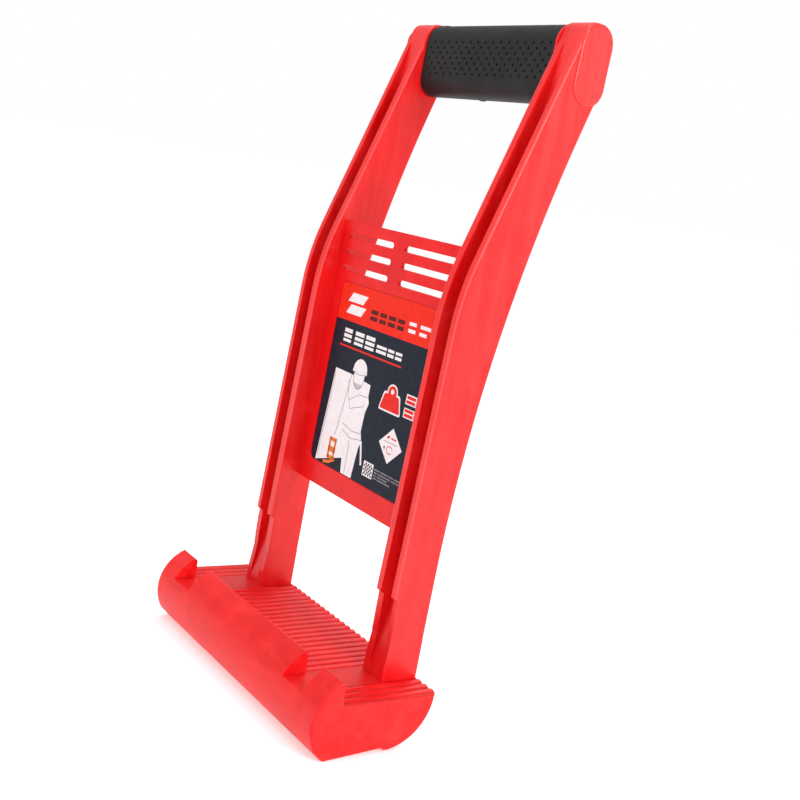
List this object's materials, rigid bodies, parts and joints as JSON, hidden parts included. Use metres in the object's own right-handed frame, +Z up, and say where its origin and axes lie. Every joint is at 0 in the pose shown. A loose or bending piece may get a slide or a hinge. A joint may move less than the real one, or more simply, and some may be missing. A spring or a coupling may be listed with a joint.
{
  "type": "drywall lift",
  "caption": "Hand-held carrier for plasterboard: a notched half-round hook takes the board's edge, two curved channel rails and a vented panel rise to a dimpled rubber grip.",
  "frame": {"origin": "mid-width, where the plane of the rail feet meets the top of the tray: the lower rear corner of the board it carries", "axes": "+X to the carrier's right across its width, +Y away from the board towards the carrier's back, +Z up along the feet of the rails"},
  "size_m": [0.1812, 0.1197, 0.3529],
  "materials": {
    "red_abs": "satin moulded ABS, fine mottled skin",
    "grip_rubber": "soft matt thermoplastic rubber",
    "label_print": "printed film, semi-gloss"
  },
  "bodies": {
    "root": {"hook_tray": "red_abs", "tray_bottom_cover": "red_abs", "left_leg_socket": "red_abs", "right_leg_socket": "red_abs", "left_rail": "red_abs", "right_rail": "red_abs", "centre_panel": "red_abs", "label": "label_print", "handle_core": "red_abs", "grip_sleeve": "grip_rubber", "left_end_plug": "red_abs", "right_end_plug": "red_abs"}
  },
  "joints": []
}
